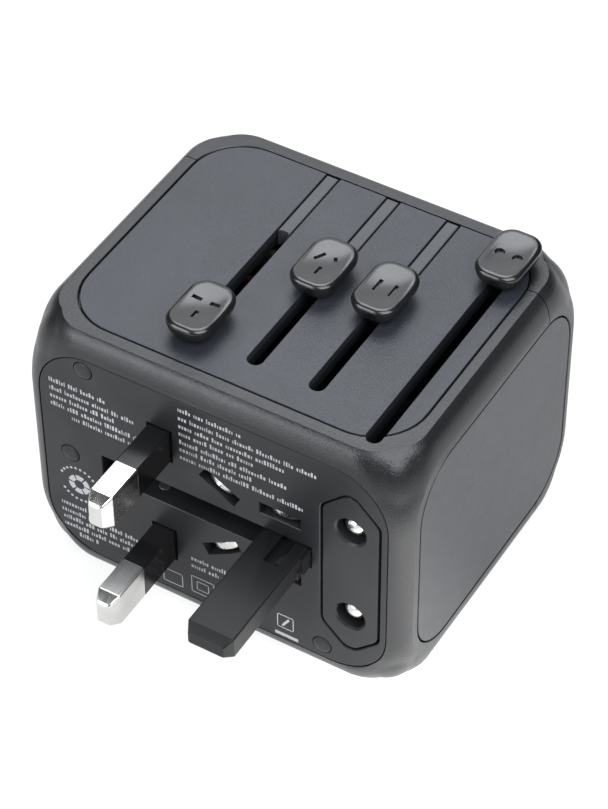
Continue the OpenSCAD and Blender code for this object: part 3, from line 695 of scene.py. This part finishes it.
def earth_prong():
    """The folding plastic earth pin with its round heel."""
    x0, x1, x, hinge_y = 9.27, 17.27, 13.27, 4.3

    def section(y, inset):
        return ring_xz(rounded(8 - 2 * inset, 4 - 2 * inset, 0.3, x, 0, 4), y)

    tip = ((3.9, 0), (-21.0, 0), (-21.1, 0.04), (-22.6, 0.86), (-22.7, 0.98))
    obj = solid("earth_prong", [section(y, inset) for y, inset in tip])
    heel = [(x + 4 * math.cos(math.radians(a)), hinge_y + 4 * math.sin(math.radians(a)))
            for a in range(0, 181, 12)]
    heel += [(x0, 3), (x1, 3)]
    combine(obj, [solid("tool", [ring_xy(heel, -2), ring_xy(heel, 2)])], "UNION")
    # two steps on the right, then a notch in the top face with a lug in it
    combine(obj, [cuboid("tool", x1 - 1, x1 + 0.45, -2.3, 1.6, -1.95, 1.5)], "UNION")
    combine(obj, [cuboid("tool", x1 - 1, x1 + 0.3, -3.4, -2.6, -1.95, -0.4)], "UNION")
    combine(obj, [cuboid("tool", 12.7, 15.2, -5.5, 0.6, 0.9, 3)])
    combine(obj, [cuboid("tool", 14.5, 15.3, -4.9, -3.3, 0.6, 1.6)], "UNION")
    hole = disc(x, hinge_y, 1.06, 28)
    cut(obj, [ring_xy(hole, -4), ring_xy(hole, 4)])
    eased(obj, 0.1, 2, 40)
    finish_piece(obj, "folding_earth_pin", "black_plastic", ["earth_pin"])


def bay_stud():
    """The flat round stud on the lower wall of the earth pin's slot."""
    x, y = -10.5, 3.15
    profile = [(1.0, -2.5), (1.0, -2.16), (0.92, -2.09), (0.3, -2.07)]
    obj = solid("bay_stud", [ring_xy(disc(x, y, rad, 28), z) for rad, z in profile])
    finish_piece(obj, "housing", None, material=STRIP_PLASTIC)


# ---- slider knobs ------------------------------------------------------------------------

def knob_marks(kind, cx, cy):
    """The plug's own pin pattern as shallow cuts, as (x, y) outlines."""
    marks = []
    if kind == "uk":
        marks += [turned(cx, cy - 1.7, 0.7, 1.7, 0), turned(cx - 1.6, cy + 1.5, 1.7, 0.7, 0),
                  turned(cx + 1.6, cy + 1.5, 1.7, 0.7, 0)]
    elif kind == "aus":
        marks += [turned(cx, cy - 1.8, 0.6, 1.9, 0), turned(cx - 1.4, cy + 1.1, 0.6, 2.1, -30),
                  turned(cx + 1.4, cy + 1.1, 0.6, 2.1, 30)]
    elif kind == "us":
        marks += [turned(cx - 1.35, cy, 0.65, 2.7, 0), turned(cx + 1.35, cy, 0.65, 2.7, 0)]
    else:
        marks += [disc(cx - 1.5, cy, 0.85, 20), disc(cx + 1.5, cy, 0.85, 20)]
    return marks


def resampled(outline, count):
    """The closed outline again, as count points at equal steps along it."""
    ends = list(zip(outline, outline[1:] + outline[:1]))
    total = sum(math.dist(a, b) for a, b in ends)
    points, walked, want = [], 0.0, 0.0
    for a, b in ends:
        step = math.dist(a, b)
        while want < walked + step - 1e-9 and len(points) < count:
            t = (want - walked) / step
            points.append((a[0] + (b[0] - a[0]) * t, a[1] + (b[1] - a[1]) * t))
            want += total / count
        walked += step
    return points


def knob(kind):
    """A pebble with a finger hollow across it: narrow foot, full side, round rim, dished top."""
    cx, cy, top = SLOT_X[kind], KNOB_Y[kind], HALF_H + 4.0
    w, length, r, rim, fall = 7.8, 11.7, 2.9, 1.1, 0.8

    def outline(inset):
        return resampled(rounded(w - 2 * inset, length - 2 * inset, r - inset * 0.6, cx, cy, 12), 112)

    def height(x, y):
        """Height of the top skin over the point (x, y)."""
        qx, qy = abs(x - cx) - (w / 2 - r), abs(y - cy) - (length / 2 - r)
        inset = r - math.hypot(max(qx, 0), max(qy, 0)) - min(max(qx, qy), 0)
        k = 1 - min(1.0, max(0.0, inset) / rim)
        u, v = (x - cx) / (w / 2), (y - cy) / (length / 2)
        hollow = 0.62 * max(0.0, 1 - v * v) ** 1.5 * max(0.0, 1 - u * u) ** 0.6
        return top - fall * (1 - math.sqrt(1 - k * k)) - hollow

    side = ((1.5, 0.85), (0.95, 0.92), (0.6, 1.15), (0.22, 1.9), (0.03, 2.7))
    rings = [ring_xy(outline(inset), HALF_H + up) for inset, up in side]
    edge = outline(0)
    rim_scales = [0.998, 0.99, 0.975, 0.955, 0.93, 0.90, 0.865, 0.83]
    for scale in rim_scales + [0.79 - 0.045 * k for k in range(17)]:
        ring = [(cx + (x - cx) * scale, cy + (y - cy) * scale) for x, y in edge]
        rings.append([(x, y, height(x, y)) for x, y in ring])
    obj = solid(f"{kind}_knob_cap", rings)
    for outline_xy in knob_marks(kind, cx, cy):
        cut(obj, [ring_xy(outline_xy, top - 0.95), ring_xy(outline_xy, top + 1)])
    finish_piece(obj, f"{kind}_slider", "knob_plastic", [f"{kind}_knob"], sharp=45, weighted=False)


# ---- print on the plug face --------------------------------------------------------------

def print_marks():
    """Word-length bars and plain symbols in place of the maker's text."""
    ink, proud = 0.035, -0.02
    bm = bmesh.new()

    def mark(outline):
        loft(bm, [ring_xz(outline, ink), ring_xz(outline, proud)])

    def frame_mark(x0, x1, z0, z1, line=0.16):
        for a, b, c, d in ((x0, x1, z0, z0 + line), (x0, x1, z1 - line, z1), (x0, x0 + line, z0, z1),
                           (x1 - line, x1, z0, z1)):
            mark([(a, c), (b, c), (b, d), (a, d)])

    # lines of text as (start x, end x, z); a linear congruential generator draws their bars
    seed = 7
    rows = [(-29.0, -18.3, 14.9), (-29.0, -13.2, 13.15), (-29.0, -16.4, 11.5), (-29.0, -12.0, 9.8),
            (-25.2, -12.0, 8.15), (-28.6, -22.6, -12.3), (-28.6, -13.0, -14.0), (-28.4, -13.6, -15.6),
            (-28.3, -14.0, -17.2), (-25.6, -21.4, -18.8),
            (-5.3, 6.2, 20.3), (-5.3, 19.3, 18.5), (-5.3, 13.7, 16.8), (-5.3, 7.9, 15.2), (-5.3, 14.1, 13.4),
            (-5.3, 7.9, 11.8), (-5.3, 17.3, 10.1), (-4.1, 5.6, -12.2), (-4.1, 3.4, -13.9)]
    for start, end, z in rows:
        x = start
        while x < end - 0.5:
            seed = (seed * 1103515245 + 12345) % 2147483648
            letters = 3 + (seed >> 16) % 8
            for _ in range(letters):
                if x + 0.46 > end:
                    break
                seed = (seed * 1103515245 + 12345) % 2147483648
                tall = (0.62, 0.62, 0.92)[(seed >> 16) % 3]
                wide = (0.16, 0.26, 0.36)[(seed >> 20) % 3]
                foot = z - 0.6
                mark([(x, foot), (x + wide, foot), (x + wide, foot + tall), (x, foot + tall)])
                x += wide + 0.22
            x += 0.42
    ring_x, ring_z, dots = -24.85, -6.9, 22
    for k in range(dots):
        a = math.radians(25 + 300 * k / (dots - 1))
        mark(disc(ring_x - 3.55 * math.cos(a), ring_z + 3.55 * math.sin(a), 0.26, 8))
    outer, inner = disc(ring_x, ring_z, 2.0, 36), disc(ring_x, ring_z, 0.95, 36)
    for k in range(36):
        j = (k + 1) % 36
        if k % 6 < 5:
            mark([inner[k], outer[k], outer[j], inner[j]])
    frame_mark(-9.6, -5.9, -20.6, -17.6)
    frame_mark(-4.3, 0.0, -20.3, -16.5)
    frame_mark(-3.3, -1.0, -19.4, -17.4)
    frame_mark(11.6, 14.6, -19.3, -16.2)
    mark([(12.4, -18.6), (12.7, -18.9), (13.9, -17.0), (13.6, -16.7)])
    mark([(11.2, -21.2), (15.4, -21.2), (15.4, -20.5), (11.2, -20.5)])
    finish_piece(as_object("face_print", bm), "housing", None, material=PRINT_INK, weighted=False)


# ---- socket at the back ------------------------------------------------------------------

def socket_cover():
    """The universal socket's face, with the openings of all four plugs."""
    def outline(inset):
        return rounded(50, 40, 8, inset=inset)

    steps = ((0, COVER_T), (0, 0.3), (0.1, 0.08), (0.3, 0))
    cover = solid("socket_cover", [ring_xz(outline(inset), DEPTH - deep) for inset, deep in steps])
    x = -11.1
    holes = [turned(11.1, 0, 8.8, 5, 0)]
    for s in (1, -1):
        holes += [turned(x, s * UK_Z, 5, 7, 0), disc(x, s * EU_Z, 2.6, 32),
                  turned(x, s * US_Z, 7.4, 2.2, 0), turned(x, s * AUS_Z, 7.4, 2.2, s * AUS_TILT)]
    for hole in holes:
        cut(cover, [ring_xz(hole, DEPTH - 4), ring_xz(hole, DEPTH + 1)])
    eased(cover, 0.18, 2, 45)
    finish_piece(cover, "housing", "face_plastic", ["socket_face"])


def shutter_coil():
    """The shutter's return spring, which on the real socket shortens as the shutter opens; here it is a fixed
    coil.
    """
    turns, steps, sides, wire, coil, y = 8, 20, 8, 0.16, 0.5, 53.05
    start, end, keep = -6.6, 4.8, 0.27
    tube = [2 * math.pi * k / sides for k in range(sides)]
    rings = []
    for i in range(turns * steps + 1):
        a = 2 * math.pi * i / steps
        x = start + (end - start) * i / (turns * steps)
        rings.append([(x + wire * math.sin(b), y + (coil + wire * math.cos(b)) * math.cos(a),
                       (coil + wire * math.cos(b)) * math.sin(a)) for b in tube])
    spring = finish_piece(solid("shutter_coil", rings), "housing", "steel", ["shutter_spring"], sharp=60)
    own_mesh(spring)


def earth_well():
    """A closed cup behind the socket's earth opening."""
    x0, x1, z, wall, front, rear = 6.0, 16.2, 3.3, 0.5, 37.8, 51.05
    well = cuboid("earth_well", x0, x1, front, rear, -z, z)
    combine(well, [cuboid("tool", x0 + wall, x1 - wall, front + wall, rear + 1, -z + wall, z - wall)])
    finish_piece(well, "housing", "black_plastic")


def paint_nodes():
    """Gives every CAD node that stays its slot's material."""
    slots = {part["node"]: part["material_slot"] for part in frame["record"]["subparts"]}
    for name, obj in frame["nodes"].items():
        if obj.hide_render:
            continue
        obj.data.materials.clear()
        obj.data.materials.append(MATERIALS[slots[name]])
        obj.data.set_sharp_from_angle(angle=math.radians(30))


# ---- build -------------------------------------------------------------------------------

front_case()
panels()
slot_strips()
face_plate()
eu_block()
prong("uk_live_prong", 1, "uk_live_pin")
prong("uk_neutral_prong", -1, "uk_neutral_pin")
collar("uk_live_collar", 1, "uk_live_sleeve")
collar("uk_neutral_collar", -1, "uk_neutral_sleeve")
blade("aus_live_tab", "aus_slider", "aus_live_blade", AUS_X, AUS_Z, -AUS_TILT, 0.45)
blade("aus_neutral_tab", "aus_slider", "aus_neutral_blade", AUS_X, -AUS_Z, AUS_TILT, 0.45)
blade("us_live_tab", "us_slider", "us_live_blade", US_X, US_Z, 0, 0.6)
blade("us_neutral_tab", "us_slider", "us_neutral_blade", US_X, -US_Z, 0, 0.6)
eu_prong("eu_live_prong", 1, "eu_live_pin")
eu_prong("eu_neutral_prong", -1, "eu_neutral_pin")
# the round pins' long dark rear sleeves, which paint the shade inside the EU slot
eu_sleeve_and_slot_shade("eu_live_sleeve_and_shade", 1)
eu_sleeve_and_slot_shade("eu_neutral_sleeve_and_shade", -1)
earth_prong()
bay_stud()
for plug in KNOB_Y:
    knob(plug)
print_marks()
socket_cover()
earth_well()
shutter_coil()
paint_nodes()


# ---- floor, lights and camera ------------------------------------------------------------

LIGHT_COLOUR = (0.93, 0.96, 1.0)
LIGHT_DISTANCE = 0.75


def floor():
    """Pale paper, with a glow at the front right that the case's upright edge reflects."""
    bm = bmesh.new()
    size, z = 1.6, cad_low.z - 0.0002
    steps = 8
    rows = [[bm.verts.new((-size + 2 * size * i / steps, -size + 2 * size * j / steps, z))
             for i in range(steps + 1)] for j in range(steps + 1)]
    for j in range(steps):
        for i in range(steps):
            bm.faces.new((rows[j][i], rows[j][i + 1], rows[j + 1][i + 1], rows[j + 1][i]))
    obj = as_object("floor", bm)
    mat, tree, bsdf = nodes_of("paper_floor")
    coords = tree.nodes.new("ShaderNodeTexCoord").outputs["Object"]
    soft = noise(tree, coords, 3, 2)
    tree.links.new(mixed(tree, soft, (0.19, 0.19, 0.19), (0.21, 0.21, 0.212)), bsdf.inputs["Base Color"])
    bsdf.inputs["Emission Color"].default_value = (1, 1, 1, 1)
    away = add(tree, "ShaderNodeVectorMath", operation="DISTANCE")
    away.inputs[1].default_value = (0.072, -0.052, z)
    tree.links.new(coords, away.inputs[0])
    glow = ramp(tree, away.outputs["Value"], 0.015, 0.065, 3.2, 0.80)
    tree.links.new(glow, bsdf.inputs["Emission Strength"])
    bsdf.inputs["Roughness"].default_value = 0.9
    bsdf.inputs["Specular IOR Level"].default_value = 0.1
    obj.data.materials.append(mat)


def softbox(name, direction, width, height, radiance):
    """A rectangular area light that faces the object."""
    light = bpy.data.lights.new(name, "AREA")
    light.shape = "RECTANGLE"
    light.size, light.size_y = width, height
    light.energy = radiance * math.pi * width * height
    light.color = LIGHT_COLOUR
    obj = bpy.data.objects.new(name, light)
    target = Vector((0, 0, 0.02))
    d = Vector(direction).normalized()
    obj.location = target + d * LIGHT_DISTANCE
    obj.rotation_euler = (-d).to_track_quat("-Z", "Y").to_euler()
    bpy.context.scene.collection.objects.link(obj)


def studio():
    softbox("back_left_high", (-0.20, 0.33, 0.90), 0.42, 0.42, 8.0)
    softbox("back_left_low", (-0.42, 0.70, 0.57), 0.50, 0.50, 2.0)
    softbox("front_left", (-0.45, -0.68, 0.57), 0.45, 0.45, 7.5)
    softbox("front_low", (-0.30, -0.95, 0.08), 0.45, 0.30, 4.0)
    softbox("right_front_high", (0.55, -0.28, 0.79), 0.62, 0.62, 7.0)
    world = bpy.data.worlds.new("studio")
    world.use_nodes = True
    background = world.node_tree.nodes["Background"]
    background.inputs["Color"].default_value = (0.9, 0.92, 0.95, 1)
    background.inputs["Strength"].default_value = 0.06
    bpy.context.scene.world = world
    bpy.context.scene.view_settings.view_transform = "Standard"
    bpy.context.scene.view_settings.look = "None"


def camera():
    """The photo's own camera, as solved from the pins' standard sizes."""
    azimuth, elevation, roll = math.radians(31.17), math.radians(45.27), math.radians(-0.41)
    back = Vector((math.sin(azimuth) * math.cos(elevation), -math.cos(azimuth) * math.cos(elevation),
                   math.sin(elevation)))
    cam = bpy.data.cameras.new("camera")
    cam.lens, cam.sensor_width = 131.66, 36
    cam.clip_start, cam.clip_end = 0.01, 10
    obj = bpy.data.objects.new("camera", cam)
    obj.location = Vector((171.57, -284.15, 359.9)) * MM
    level = Vector((math.cos(azimuth), math.sin(azimuth), 0))
    above = back.cross(level)
    right = level * math.cos(roll) + above * math.sin(roll)
    up = above * math.cos(roll) - level * math.sin(roll)
    obj.rotation_mode = "QUATERNION"
    obj.rotation_quaternion = Matrix((right, up, back)).transposed().to_quaternion()
    bpy.context.scene.collection.objects.link(obj)
    bpy.context.scene.camera = obj


floor()
studio()
camera()
